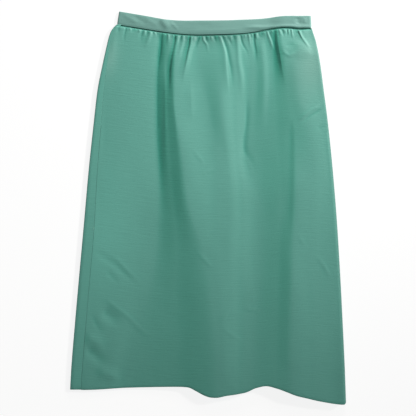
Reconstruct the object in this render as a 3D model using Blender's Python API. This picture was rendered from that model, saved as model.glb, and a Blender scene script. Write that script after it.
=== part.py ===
"""A-line skirt lying flat: a gathered front panel, a back panel and a lapped waistband.

Metres. +X is the wearer's left, +Y runs from the hem to the waist and +Z is up from the table.
The origin is on the table, under the middle of the skirt's outline.
"""

from collections import namedtuple
import math

import bpy
import numpy as np

# ---------------------------------------------------------------- driving sizes

PANEL_THICKNESS = 0.0015
BAND_THICKNESS = 0.0018
SEAM_GAP = 0.0004            # between the pieces that a seam joins
WAIST_SEAM_GAP = 0.0006      # the same below the band, with room for its facets
BAND_AIR = 0.0006            # between the band's front and back runs

LAP_LENGTH = 0.040           # band end that laps over the outside, from the wearer's left fold
TUCK_CLEARANCE = 0.006       # from the tucked end to that fold
JOG_LENGTH = 0.008           # where the back run steps up to pass over the lap
FRONT_RISE_LENGTH = 0.030    # where the front run climbs onto the third layer

ROLL_ASPECT = 0.50           # the soft fold's half width as a share of its height
CURL_STEPS = 8               # facets round each fold

# The seam between band and panels, from the wearer's right to left, with the band's height above it.
Waist = namedtuple("Waist", "across along height")
WAISTLINE = (
    Waist(-0.1635, 0.3302, 0.0236),
    Waist(-0.1134, 0.3221, 0.0232),
    Waist(-0.0810, 0.3170, 0.0226),
    Waist(-0.0504, 0.3134, 0.0238),
    Waist(-0.0180, 0.3116, 0.0255),
    Waist(0.0306, 0.3126, 0.0248),
    Waist(0.0576, 0.3138, 0.0246),
    Waist(0.0864, 0.3171, 0.0226),
    Waist(0.1134, 0.3221, 0.0200),
    Waist(0.1386, 0.3248, 0.0204),
    Waist(0.1500, 0.3243, 0.0212),
    Waist(0.1643, 0.3226, 0.0227),
    Waist(0.1858, 0.3234, 0.0220),
)

# The outline's two sides, from the waist down.
Edge = namedtuple("Edge", "along across")
LEFT_EDGE = (
    Edge(0.3302, -0.1640),
    Edge(0.3240, -0.1702),
    Edge(0.3172, -0.1748),
    Edge(0.3073, -0.1784),
    Edge(0.2911, -0.1823),
    Edge(0.2597, -0.1893),
    Edge(0.2124, -0.1987),
    Edge(0.1566, -0.2052),
    Edge(0.0666, -0.2148),
    Edge(-0.0234, -0.2228),
    Edge(-0.1134, -0.2310),
    Edge(-0.2034, -0.2390),
    Edge(-0.2934, -0.2463),
    Edge(-0.3258, -0.2480),
)
RIGHT_EDGE = (
    Edge(0.3228, 0.1867),
    Edge(0.3150, 0.1890),
    Edge(0.3006, 0.1937),
    Edge(0.2646, 0.2009),
    Edge(0.2106, 0.2081),
    Edge(0.1566, 0.2150),
    Edge(0.0666, 0.2242),
    Edge(-0.0234, 0.2315),
    Edge(-0.1134, 0.2371),
    Edge(-0.2034, 0.2418),
    Edge(-0.2934, 0.2460),
    Edge(-0.3532, 0.2480),
)

# The hems. The front one dips over each soft fold, and the back one lies hidden just above it.
Hem = namedtuple("Hem", "across along")
FRONT_HEM = (
    Hem(-0.2480, -0.3258),
    Hem(-0.2214, -0.3262),
    Hem(-0.1404, -0.3222),
    Hem(-0.0504, -0.3204),
    Hem(-0.0360, -0.3213),
    Hem(-0.0216, -0.3278),
    Hem(-0.0054, -0.3361),
    Hem(0.0054, -0.3391),
    Hem(0.0144, -0.3395),
    Hem(0.0324, -0.3362),
    Hem(0.0504, -0.3336),
    Hem(0.0684, -0.3299),
    Hem(0.0864, -0.3221),
    Hem(0.1044, -0.3186),
    Hem(0.1224, -0.3226),
    Hem(0.1404, -0.3289),
    Hem(0.1584, -0.3358),
    Hem(0.1764, -0.3402),
    Hem(0.2016, -0.3461),
    Hem(0.2376, -0.3518),
    Hem(0.2480, -0.3524),
)
BACK_HEM = (
    Hem(-0.2480, -0.3258),
    Hem(-0.1500, -0.3190),
    Hem(-0.0400, -0.3160),
    Hem(0.1000, -0.3150),
    Hem(0.1350, -0.3250),
    Hem(0.1700, -0.3370),
    Hem(0.2100, -0.3460),
    Hem(0.2480, -0.3515),
)

# How far each panel turns round its fold before the side seam, by share of the length from the waist.
Turn = namedtuple("Turn", "share left right")
SIDE_TURNS = (
    Turn(0.00, 0.0032, 0.0080),
    Turn(0.03, 0.0040, 0.0100),
    Turn(0.07, 0.0062, 0.0130),
    Turn(0.18, 0.0113, 0.0170),
    Turn(0.40, 0.0155, 0.0210),
    Turn(0.62, 0.0194, 0.0230),
    Turn(1.00, 0.0198, 0.0240),
)

# The front panel's large form, in millimetres. Each row is a section at a distance down from the waist
# seam, and each column a crest, valley or slope between them as (across, height of the outer face).
# The flank is the soft fold's height.
MM = 0.001
Section = namedtuple(
    "Section", "drop swell pleat rise brow dip shoulder fall hollow climb crease ledge flank"
)
SECTIONS = (
    Section(0.0, (-150.0, 5.2), (-88.0, 4.5), (-77.0, 4.6), (-58.0, 4.9), (-14.0, 4.8), (20.0, 5.0),
            (46.0, 5.0), (77.0, 4.9), (117.0, 5.1), (134.0, 6.0), (166.0, 6.4), 6.2),
    Section(22.0, (-150.0, 6.1), (-88.0, 5.8), (-77.0, 6.8), (-58.0, 9.0), (-18.0, 7.6), (22.0, 8.6),
            (46.0, 8.2), (77.0, 6.2), (117.0, 5.6), (133.0, 9.0), (166.0, 9.0), 6.8),
    Section(50.0, (-150.0, 6.2), (-90.0, 5.5), (-76.0, 7.6), (-59.0, 10.9), (-16.0, 8.4), (24.0, 10.0),
            (46.0, 9.0), (77.0, 5.8), (117.0, 5.4), (138.0, 10.2), (160.0, 11.6), 9.6),
    Section(120.0, (-160.0, 6.1), (-92.0, 5.0), (-76.0, 7.9), (-59.0, 11.7), (-2.0, 8.8), (24.0, 10.6),
            (50.0, 7.4), (75.0, 5.0), (119.0, 7.4), (144.0, 11.0), (166.0, 13.0), 11.3),
    Section(210.0, (-165.0, 6.1), (-90.0, 4.9), (-72.0, 8.4), (-46.0, 13.4), (12.0, 9.8), (32.0, 9.8),
            (53.0, 6.8), (68.0, 4.6), (126.0, 8.8), (158.0, 13.0), (188.0, 14.2), 13.3),
    Section(300.0, (-168.0, 6.2), (-88.0, 4.8), (-64.0, 8.9), (-36.0, 14.2), (16.0, 12.2), (40.0, 12.0),
            (62.0, 10.2), (88.0, 9.0), (130.0, 12.6), (160.0, 16.1), (190.0, 15.2), 13.4),
    Section(390.0, (-165.0, 6.0), (-92.0, 4.6), (-56.0, 8.9), (-8.0, 14.3), (12.0, 14.2), (36.0, 13.8),
            (62.0, 11.6), (88.0, 10.2), (128.0, 13.0), (154.0, 16.1), (186.0, 15.1), 13.8),
    Section(480.0, (-165.0, 5.9), (-108.0, 4.6), (-58.0, 8.2), (8.0, 15.2), (20.0, 15.2), (40.0, 14.2),
            (64.0, 12.2), (88.0, 11.4), (126.0, 14.2), (153.0, 17.3), (186.0, 15.7), 13.6),
    Section(570.0, (-170.0, 5.8), (-135.0, 4.7), (-56.0, 8.8), (16.0, 15.4), (26.0, 15.4), (44.0, 14.4),
            (62.0, 13.0), (82.0, 12.5), (124.0, 15.0), (153.0, 17.4), (188.0, 16.2), 13.8),
    Section(640.0, (-175.0, 5.8), (-150.0, 4.8), (-60.0, 8.6), (18.0, 15.6), (28.0, 15.6), (44.0, 15.2),
            (60.0, 14.4), (78.0, 14.2), (122.0, 16.2), (152.0, 17.8), (188.0, 16.0), 13.2),
)
SEAM_HEIGHT = 0.0060         # outer face of both panels at the seam that shows

# The gathers that run furthest down, as (across, drop) at each end, with half widths to match.
Gather = namedtuple("Gather", "rise head foot head_width foot_width")
GATHERS = (
    Gather(0.0008, (-0.103, -0.010), (-0.114, 0.050), 0.005, 0.007),
    Gather(-0.0010, (-0.082, -0.010), (-0.083, 0.120), 0.005, 0.007),
    Gather(0.0010, (-0.071, -0.010), (-0.073, 0.060), 0.005, 0.007),
    Gather(-0.0018, (-0.060, -0.010), (-0.071, 0.130), 0.005, 0.007),
    Gather(0.0012, (-0.046, -0.010), (-0.055, 0.070), 0.005, 0.007),
    Gather(-0.0024, (-0.033, -0.010), (-0.046, 0.090), 0.005, 0.007),
    Gather(0.0020, (-0.024, -0.010), (-0.030, 0.120), 0.005, 0.008),
    Gather(-0.0012, (-0.005, -0.010), (0.002, 0.040), 0.005, 0.006),
    Gather(0.0016, (0.021, -0.010), (0.036, 0.120), 0.005, 0.008),
    Gather(-0.0018, (0.031, -0.010), (0.045, 0.110), 0.005, 0.007),
    Gather(0.0016, (0.051, -0.010), (0.062, 0.140), 0.006, 0.009),
    Gather(-0.0012, (0.062, -0.010), (0.072, 0.060), 0.005, 0.007),
    Gather(-0.0016, (0.083, -0.010), (0.087, 0.080), 0.005, 0.007),
    Gather(0.0016, (0.097, -0.010), (0.098, 0.190), 0.008, 0.010),
    Gather(-0.0030, (0.120, -0.010), (0.135, 0.120), 0.006, 0.007),
    Gather(0.0014, (0.129, -0.010), (0.139, 0.060), 0.005, 0.007),
)

SEAM_HOLD = 0.3              # share of a gather's rise that is left at the seam itself
SEAM_REACH = 0.018           # how far down the seam holds the gathers flatter
FLANK_CALM = 0.020           # width beside the soft fold that gathers don't reach

FRONT_COLUMNS = 56
PANEL_ROWS = 21
BACK_COLUMNS = 32
STRIP_COLUMNS = 2
BAND_SPACING = 0.005
ROW_CROWDING = 1.35          # over 1, rows lie closer together near the waist

Finish = namedtuple("Finish", "colour roughness")
FINISHES = {
    "front_panel": Finish((0.205, 0.480, 0.400, 1.0), 0.62),
    "back_panel": Finish((0.195, 0.465, 0.388, 1.0), 0.62),
    "waistband": Finish((0.230, 0.480, 0.410, 1.0), 0.60),
}


# ---------------------------------------------------------------- curves

def smooth_curve(places, values):
    """A curve through the points that never overshoots them (monotone cubic)."""
    xs = np.asarray(places, dtype=float)
    ys = np.asarray(values, dtype=float)
    order = np.argsort(xs)
    xs, ys = xs[order], ys[order]
    steps = np.diff(xs)
    rates = np.diff(ys) / steps
    slopes = np.concatenate(([rates[0]], np.zeros(len(xs) - 2), [rates[-1]]))
    same_way = rates[:-1] * rates[1:] > 0.0
    slopes[1:-1][same_way] = 2.0 / (1.0 / rates[:-1][same_way] + 1.0 / rates[1:][same_way])

    def at(x):
        x = np.clip(x, xs[0], xs[-1])
        i = np.clip(np.searchsorted(xs, x, side="right") - 1, 0, len(steps) - 1)
        t = (x - xs[i]) / steps[i]
        start = (1.0 + 2.0 * t) * (1.0 - t) ** 2 * ys[i] + t * (1.0 - t) ** 2 * steps[i] * slopes[i]
        end = t * t * (3.0 - 2.0 * t) * ys[i + 1] - t * t * (1.0 - t) * steps[i] * slopes[i + 1]
        return start + end

    return at


def column(table, name, part=None):
    """One named column of a table, or one part of its pairs."""
    values = [getattr(row, name) for row in table]
    return values if part is None else [value[part] for value in values]


waist_along = smooth_curve(column(WAISTLINE, "across"), column(WAISTLINE, "along"))
band_height = smooth_curve(column(WAISTLINE, "across"), column(WAISTLINE, "height"))
left_across = smooth_curve(column(LEFT_EDGE, "along"), column(LEFT_EDGE, "across"))
right_across = smooth_curve(column(RIGHT_EDGE, "along"), column(RIGHT_EDGE, "across"))
front_hem = smooth_curve(column(FRONT_HEM, "across"), column(FRONT_HEM, "along"))
back_hem = smooth_curve(column(BACK_HEM, "across"), column(BACK_HEM, "along"))
left_turn = smooth_curve(column(SIDE_TURNS, "share"), column(SIDE_TURNS, "left"))
right_turn = smooth_curve(column(SIDE_TURNS, "share"), column(SIDE_TURNS, "right"))
section_drops = np.array(column(SECTIONS, "drop")) * MM
flank_height = smooth_curve(section_drops, np.array(column(SECTIONS, "flank")) * MM)


def ease(t):
    """0 to 1 with a level start and finish."""
    t = np.clip(t, 0.0, 1.0)
    return t * t * (3.0 - 2.0 * t)


def mix(a, b, t):
    return a + (b - a) * t


def row_shares(rows):
    """Shares of the length from waist to hem, closer together near the waist."""
    return np.linspace(0.0, 1.0, rows) ** ROW_CROWDING


# ---------------------------------------------------------------- the front panel's form

def large_form(across, drop, flank_across):
    """Height of the outer face from the crests and valleys, side seam to soft fold."""
    knots = [(left_seam(waist_along(across) - drop), np.full(np.shape(across), SEAM_HEIGHT))]
    for name in Section._fields[1:-1]:
        knots.append([
            smooth_curve(section_drops, np.array(column(SECTIONS, name, part)) * MM)(drop)
            for part in (0, 1)
        ])
    knots.append((np.full(np.shape(across), flank_across), flank_height(drop)))
    xs, ys = np.array([x for x, y in knots]), np.array([y for x, y in knots])
    steps = np.diff(xs, axis=0)
    rates = np.diff(ys, axis=0) / steps
    slopes = np.zeros(xs.shape)
    same_way = rates[:-1] * rates[1:] > 0.0
    both = np.where(same_way, rates[:-1] * rates[1:], 1.0)
    slopes[1:-1] = np.where(same_way, 2.0 * both / np.where(same_way, rates[:-1] + rates[1:], 1.0), 0.0)
    height = ys[0].copy()
    for i in range(len(steps)):
        t = np.clip((across - xs[i]) / steps[i], 0.0, 1.0)
        level = mix(ys[i], ys[i + 1], ease(t))
        bend = t * (1.0 - t) ** 2 * slopes[i] - t * t * (1.0 - t) * slopes[i + 1]
        height = np.where(across >= xs[i], level + steps[i] * bend, height)
    return height


def gather_relief(across, drop, flank_across):
    """Ridges and grooves that leave the waist seam and die out below."""
    relief = np.zeros(np.shape(across))
    for gather in GATHERS:
        along_fold = (drop - gather.head[1]) / (gather.foot[1] - gather.head[1])
        centre = mix(gather.head[0], gather.foot[0], np.sqrt(np.clip(along_fold, 0.0, 1.0)))
        half_width = mix(gather.head_width, gather.foot_width, np.clip(along_fold, 0.0, 1.0))
        fade = ease(1.0 - along_fold)
        relief += gather.rise * fade * np.exp(-((across - centre) / half_width) ** 2)
    held_by_seam = mix(SEAM_HOLD, 1.0, ease(drop / SEAM_REACH))
    return relief * held_by_seam * ease((flank_across - across) / FLANK_CALM)


def front_height(across, drop, flank_across):
    """Outer face of the front panel, never below the layer it lies on."""
    lowest = 2.0 * PANEL_THICKNESS + SEAM_GAP + 0.0002
    height = large_form(across, drop, flank_across) + gather_relief(across, drop, flank_across)
    return np.maximum(height, lowest)


# ---------------------------------------------------------------- grids of the outer faces

def left_seam(along):
    """Where the visible side seam lies at a height along the skirt."""
    top, bottom = LEFT_EDGE[0].along, LEFT_EDGE[-1].along
    return left_across(along) + left_turn((top - along) / (top - bottom))


def right_seam(along):
    """Where the side seam underneath lies."""
    top, bottom = RIGHT_EDGE[0].along, RIGHT_EDGE[-1].along
    return right_across(along) - right_turn((top - along) / (top - bottom))


def soft_fold_height(along):
    return flank_height(RIGHT_EDGE[0].along - along)


def roll_start_across(along):
    """Where the front panel begins to turn down round the soft fold."""
    return right_across(along) - ROLL_ASPECT * soft_fold_height(along)


def lengthwise(across_top, across_hem, hem, share):
    """How far along the skirt a share of the length lies, between two columns' ends."""
    return mix(waist_along(across_top) - WAIST_SEAM_GAP, hem(across_hem), share)


def front_grid():
    """The front panel's outer face: visible side seam, over the top, round the soft fold, underneath."""
    rows = []
    span = np.linspace(0.0, 1.0, FRONT_COLUMNS)
    top_ends = left_seam(LEFT_EDGE[0].along) + SEAM_GAP, roll_start_across(RIGHT_EDGE[0].along)
    hem_ends = left_seam(LEFT_EDGE[-1].along) + SEAM_GAP, roll_start_across(RIGHT_EDGE[-1].along)
    for share in row_shares(PANEL_ROWS):
        along = lengthwise(mix(*top_ends, span), mix(*hem_ends, span), front_hem, share)
        fold_across = right_across(along[-1])
        roll_height = soft_fold_height(along[-1])
        roll_start = roll_start_across(along[-1])
        across = mix(left_seam(along[0]) + SEAM_GAP, roll_start, span)
        height = front_height(across, waist_along(across) - along, roll_start)
        height[-1] = roll_height
        row = list(zip(across, along, height))
        for step in range(1, CURL_STEPS + 1):
            angle = math.pi * step / CURL_STEPS
            row.append((
                mix(roll_start, fold_across, math.sin(angle)),
                along[-1],
                0.5 * roll_height * (1.0 + math.cos(angle)),
            ))
        for step in range(1, STRIP_COLUMNS + 1):
            row.append((mix(roll_start, right_seam(along[-1]), step / STRIP_COLUMNS), along[-1], 0.0))
        rows.append(row)
    return np.array(rows)


def back_grid():
    """The back panel's outer face: along the table, round the sharp fold, to the visible side seam."""
    rows = []
    radius = 0.5 * SEAM_HEIGHT
    span = np.linspace(0.0, 1.0, BACK_COLUMNS)
    top_ends = right_seam(RIGHT_EDGE[0].along) - SEAM_GAP, LEFT_EDGE[0].across + radius
    hem_ends = right_seam(RIGHT_EDGE[-1].along) - SEAM_GAP, LEFT_EDGE[-1].across + radius
    for share in row_shares(PANEL_ROWS):
        along = lengthwise(mix(*top_ends, span), mix(*hem_ends, span), back_hem, share)
        fold_across = left_across(along[-1])
        across = mix(right_seam(along[0]) - SEAM_GAP, fold_across + radius, span)
        row = list(zip(across, along, np.zeros(BACK_COLUMNS)))
        for step in range(1, CURL_STEPS + 1):
            angle = math.pi * step / CURL_STEPS
            row.append((
                fold_across + radius * (1.0 - math.sin(angle)),
                along[-1],
                radius * (1.0 - math.cos(angle)),
            ))
        for step in range(1, STRIP_COLUMNS + 1):
            strip = mix(fold_across + radius, left_seam(along[-1]), step / STRIP_COLUMNS)
            row.append((strip, along[-1], SEAM_HEIGHT))
        rows.append(row)
    return np.array(rows)


def band_run(start, end, height):
    """Stations of a straight run of the band, as (across, height of the outer face)."""
    count = max(2, round(abs(end - start) / BAND_SPACING) + 1)
    return [(across, height(across)) for across in np.linspace(start, end, count)]


def band_path():
    """The band's outer face seen along the cloth, from its tucked end round to its lapped end."""
    left, right = WAISTLINE[0].across, WAISTLINE[-1].across
    tucked = BAND_THICKNESS + SEAM_GAP
    thin = 2.0 * BAND_THICKNESS + BAND_AIR
    thick = thin + tucked
    lap_end = right - LAP_LENGTH
    jog_end = lap_end - SEAM_GAP
    jog_start = jog_end - JOG_LENGTH
    climb_end = jog_start
    climb_start = climb_end - FRONT_RISE_LENGTH

    def front(across):
        return mix(thin, thick, float(ease((across - climb_start) / (climb_end - climb_start))))

    path = band_run(right - TUCK_CLEARANCE, jog_end + SEAM_GAP, lambda across: tucked)
    for step in range(5):
        share = step / 4
        path.append((mix(jog_end, jog_start, share), tucked * (1.0 - float(ease(share)))))
    path += band_run(jog_start - BAND_SPACING, left + 0.5 * thin, lambda across: 0.0)
    for step in range(1, CURL_STEPS):
        angle = math.pi * step / CURL_STEPS
        path.append((left + 0.5 * thin * (1.0 - math.sin(angle)), 0.5 * thin * (1.0 - math.cos(angle))))
    path += band_run(left + 0.5 * thin, right - 0.5 * thick, front)
    for step in range(1, CURL_STEPS):
        angle = math.pi * step / CURL_STEPS
        path.append((right - 0.5 * thick * (1.0 - math.sin(angle)), 0.5 * thick * (1.0 + math.cos(angle))))
    path += band_run(right - 0.5 * thick, lap_end, lambda across: 0.0)
    return path


def waist_slope(across):
    """Rise of the waist seam for each metre across."""
    before = max(across - BAND_SPACING, WAISTLINE[0].across)
    after = min(across + BAND_SPACING, WAISTLINE[-1].across)
    return float(waist_along(after) - waist_along(before)) / (after - before)


def band_grid():
    """The band's outer face: its top edge, then its lower edge, along the path."""
    top, bottom = [], []
    for across, height in band_path():
        slope = waist_slope(across)
        along = float(waist_along(across))
        rise = float(band_height(across)) / math.hypot(1.0, slope)
        bottom.append((across, along, height))
        top.append((across - slope * rise, along + rise, height))
    return np.array([top, bottom])


# ---------------------------------------------------------------- solids

def clear_scene():
    for thing in list(bpy.data.objects):
        bpy.data.objects.remove(thing, do_unlink=True)


def cloth_material(name, finish):
    material = bpy.data.materials.new(name)
    material.use_nodes = True
    shader = material.node_tree.nodes["Principled BSDF"]
    shader.inputs["Base Color"].default_value = finish.colour
    shader.inputs["Roughness"].default_value = finish.roughness
    shader.inputs["Metallic"].default_value = 0.0
    return material


def wall(name, grid, thickness):
    """A closed wall whose outer face is the grid: rows from waist to hem, columns left to right."""
    rows, columns = grid.shape[:2]
    faces = []
    for row in range(rows - 1):
        for place in range(columns - 1):
            corner = row * columns + place
            faces.append((corner, corner + columns, corner + columns + 1, corner + 1))
    mesh = bpy.data.meshes.new(name)
    mesh.from_pydata(grid.reshape(-1, 3).tolist(), [], faces)
    mesh.shade_smooth()
    mesh.set_sharp_from_angle(angle=math.radians(50.0))
    mesh.materials.append(cloth_material(name, FINISHES[name]))
    piece = bpy.data.objects.new(name, mesh)
    bpy.context.scene.collection.objects.link(piece)
    solidify = piece.modifiers.new("cloth", "SOLIDIFY")
    solidify.thickness = thickness
    solidify.offset = -1.0
    solidify.use_rim = True
    solidify.use_quality_normals = True
    return piece


def build_skirt():
    clear_scene()
    wall("front_panel", front_grid(), PANEL_THICKNESS)
    wall("back_panel", back_grid(), PANEL_THICKNESS)
    wall("waistband", band_grid(), BAND_THICKNESS)


build_skirt()
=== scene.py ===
"""An a-line skirt lying on a pale table: front panel, back panel and waistband in seafoam cloth.

Metres. +X is the wearer's left, +Y runs from the hem to the waist and +Z is up from the table.
"""

from collections import namedtuple
import math

import bpy
import numpy as np
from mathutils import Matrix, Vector, noise


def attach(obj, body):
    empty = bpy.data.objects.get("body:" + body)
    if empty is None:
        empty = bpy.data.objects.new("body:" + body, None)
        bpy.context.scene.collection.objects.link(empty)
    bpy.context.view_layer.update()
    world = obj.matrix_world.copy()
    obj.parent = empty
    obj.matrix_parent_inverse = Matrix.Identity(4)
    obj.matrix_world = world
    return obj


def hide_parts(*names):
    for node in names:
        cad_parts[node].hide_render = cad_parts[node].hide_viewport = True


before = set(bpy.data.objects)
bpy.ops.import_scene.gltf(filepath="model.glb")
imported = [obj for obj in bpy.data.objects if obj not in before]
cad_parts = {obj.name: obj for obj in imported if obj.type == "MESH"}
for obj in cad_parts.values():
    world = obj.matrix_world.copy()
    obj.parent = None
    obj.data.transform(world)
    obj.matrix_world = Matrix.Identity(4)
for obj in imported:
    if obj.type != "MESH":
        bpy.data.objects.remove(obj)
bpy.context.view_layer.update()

# -------- sizes of the cloth

CLOTH = 0.0007  # one layer of cloth
BAND = 0.0014  # the band: cloth folded double over its stiffening
AIR = 0.0001  # between layers that touch
SEAM_GAP = 0.0004  # between the band's runs and its lapped end
SIDE_GAP = 0.00005  # between the panels at a side seam
WAIST_SEAM_GAP = 0.0005  # how far below the waist seam the back panel ends
GATHER_REST = 0.0014  # flat strip of the gathered edge that shows below the band
SEAM_PULL = 0.0010  # how far the waist seam draws that strip in below the band
SEAM_ALLOWANCE = 0.006  # how far a seam's under layer runs on beneath the other
SEAM_ROUNDING = 0.00003  # how far from a seam the cloth starts to turn down into it
SEAM_TURN = 0.00003  # and how far down it turns
HEM_ALLOWANCE = 0.028  # turned up inside both hems
TUCK = 0.0030  # how far the front panel's gathered edge goes up inside the band
DITCH = 0.0018  # how quickly the cloth swells out below the flat strip
HEAD_DITCH = 0.0016  # and how quickly the gathers do
SWELL_POWER = 1.6  # over 1, the swelling starts level
GATHER_HEADS = 1.1  # how much stronger the gathers are where they leave the band
HEAD_LENGTH = 0.009  # and how soon that dies out
GATHER_STRENGTH = 0.9  # what the rises in the table of gathers are multiplied by

SEAM_HEIGHT = 0.0060  # outer face of both panels at the seam that shows
ROLL_ASPECT = 0.26  # the soft fold's half width as a share of its height

BAND_AIR = 0.0006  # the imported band's own thickness and gaps, which set where its runs lie
BAND_SOLID = 0.0018
LAP_LENGTH = 0.040  # how far the band's lapped end covers its tucked one
TUCK_CLEARANCE = 0.006  # from the tucked end to the side of the skirt
JOG_LENGTH = 0.008  # over which the run underneath steps up onto the lap
FRONT_RISE_LENGTH = 0.030  # over which the front run rises to clear that step

# The seam between band and panels, from the wearer's right to left, with the band's height above it.
Waist = namedtuple("Waist", "across along height")
WAISTLINE = [Waist(*row) for row in (
    (-0.1635, 0.3302, 0.0236),
    (-0.1134, 0.3221, 0.0232),
    (-0.0810, 0.3170, 0.0226),
    (-0.0504, 0.3134, 0.0238),
    (-0.0180, 0.3116, 0.0255),
    (0.0306, 0.3126, 0.0248),
    (0.0576, 0.3138, 0.0246),
    (0.0864, 0.3171, 0.0226),
    (0.1134, 0.3221, 0.0200),
    (0.1386, 0.3248, 0.0204),
    (0.1500, 0.3243, 0.0212),
    (0.1643, 0.3226, 0.0227),
    (0.1858, 0.3234, 0.0220),
)]

# The outline's two sides, from the waist down.
Edge = namedtuple("Edge", "along across")
LEFT_EDGE = [Edge(*row) for row in (
    (0.3302, -0.1640), (0.3240, -0.1702), (0.3172, -0.1748), (0.3073, -0.1784), (0.2911, -0.1823),
    (0.2597, -0.1893), (0.2124, -0.1987), (0.1566, -0.2052), (0.0666, -0.2148), (-0.0234, -0.2228),
    (-0.1134, -0.2310), (-0.2034, -0.2390), (-0.2934, -0.2463), (-0.3258, -0.2480),
)]
RIGHT_EDGE = [Edge(*row) for row in (
    (0.3228, 0.1867), (0.3150, 0.1890), (0.3006, 0.1937), (0.2646, 0.2009), (0.2106, 0.2081),
    (0.1566, 0.2150), (0.0666, 0.2242), (-0.0234, 0.2315), (-0.1134, 0.2371), (-0.2034, 0.2418),
    (-0.2934, 0.2460), (-0.3532, 0.2480),
)]

# The hems. The front one dips over each soft fold, and the back one lies hidden just above it.
Hem = namedtuple("Hem", "across along")
FRONT_HEM = [Hem(*row) for row in (
    (-0.2480, -0.3258), (-0.2214, -0.3262), (-0.1404, -0.3222), (-0.0504, -0.3204), (-0.0360, -0.3213),
    (-0.0216, -0.3278), (-0.0054, -0.3361), (0.0054, -0.3391), (0.0144, -0.3395), (0.0324, -0.3362),
    (0.0504, -0.3336), (0.0684, -0.3299), (0.0864, -0.3221), (0.1044, -0.3186), (0.1224, -0.3226),
    (0.1404, -0.3289), (0.1584, -0.3358), (0.1764, -0.3402), (0.2016, -0.3461), (0.2376, -0.3518),
    (0.2480, -0.3524),
)]
BACK_HEM = [Hem(*row) for row in (
    (-0.2480, -0.3258), (-0.1500, -0.3190), (-0.0400, -0.3160), (0.1000, -0.3150), (0.1350, -0.3250),
    (0.1700, -0.3370), (0.2100, -0.3460), (0.2480, -0.3515),
)]

# How far each panel turns round its fold before the side seam, by share of the length from the waist.
Turn = namedtuple("Turn", "share left right")
SIDE_TURNS = [Turn(*row) for row in (
    (0.00, 0.0032, 0.0080),
    (0.03, 0.0040, 0.0100),
    (0.07, 0.0062, 0.0130),
    (0.18, 0.0113, 0.0170),
    (0.40, 0.0155, 0.0210),
    (0.62, 0.0194, 0.0230),
    (1.00, 0.0198, 0.0240),
)]

# The front panel's large form, in millimetres. Each row is a section at a distance down from the waist
# seam, and each column a crest, valley or slope between them as (across, height of the outer face).
# The flank is the soft fold's height.
MM = 0.001
Section = namedtuple(
    "Section", "drop swell pleat rise brow dip shoulder fall hollow climb crease ledge flank"
)
SECTIONS = [Section(*row) for row in (
    (0, (-150, 5.8), (-88, 5.3), (-77, 5.8), (-58, 6.9), (-14, 6.2), (20, 6.6), (46, 6.3), (77, 5.6),
     (117, 5.4), (134, 7), (166, 7.4), 6),
    (22, (-150, 6.1), (-88, 5.8), (-77, 6.8), (-58, 9), (-18, 7.6), (22, 8.6), (46, 8.2), (77, 6.2),
     (117, 5.6), (133, 9), (166, 9), 6.8),
    (50, (-150, 6.2), (-90, 5.5), (-76, 7.6), (-59, 10.9), (-16, 8.4), (24, 10), (46, 9), (77, 5.8),
     (117, 5.4), (138, 10.2), (160, 11.6), 9.6),
    (120, (-160, 6.1), (-92, 5), (-76, 7.9), (-59, 11.7), (-2, 8.8), (24, 10.6), (50, 7.4), (75, 5),
     (119, 7.4), (144, 11), (166, 13), 11.3),
    (210, (-165, 6.1), (-90, 4.9), (-72, 8.4), (-46, 13.4), (12, 9.8), (32, 9.8), (53, 6.8), (68, 4.6),
     (126, 8.8), (158, 13), (188, 14.2), 13.3),
    (300, (-168, 6.2), (-88, 4.8), (-64, 8.9), (-36, 14.2), (16, 12.2), (40, 12), (62, 10.2), (88, 9),
     (130, 12.6), (160, 16.1), (190, 15.2), 13.4),
    (390, (-165, 6), (-92, 4.6), (-56, 8.9), (-8, 14.3), (12, 14.2), (36, 13.8), (62, 11.6), (88, 10.2),
     (128, 13), (154, 16.1), (186, 15.1), 13.8),
    (480, (-165, 5.9), (-108, 4.6), (-58, 8.2), (8, 15.2), (20, 15.2), (40, 14.2), (64, 12.2),
     (88, 11.4), (126, 14.2), (153, 17.3), (186, 15.7), 13.6),
    (570, (-170, 5.8), (-135, 4.7), (-56, 8.8), (16, 15.4), (26, 15.4), (44, 14.4), (62, 13), (82, 12.5),
     (124, 15), (153, 17.4), (188, 16.2), 13.8),
    (640, (-175, 5.8), (-150, 4.8), (-60, 8.6), (18, 15.6), (28, 15.6), (44, 15.2), (60, 14.4),
     (78, 14.2), (122, 16.2), (152, 17.8), (188, 16), 13.2),
)]
PLEAT_ROUNDING = 0.0004  # how far from its line a sharp fold is rounded off
LOWEST_FRONT = 0.0033  # the front panel's outer face where it lies straight on the back panel

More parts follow.
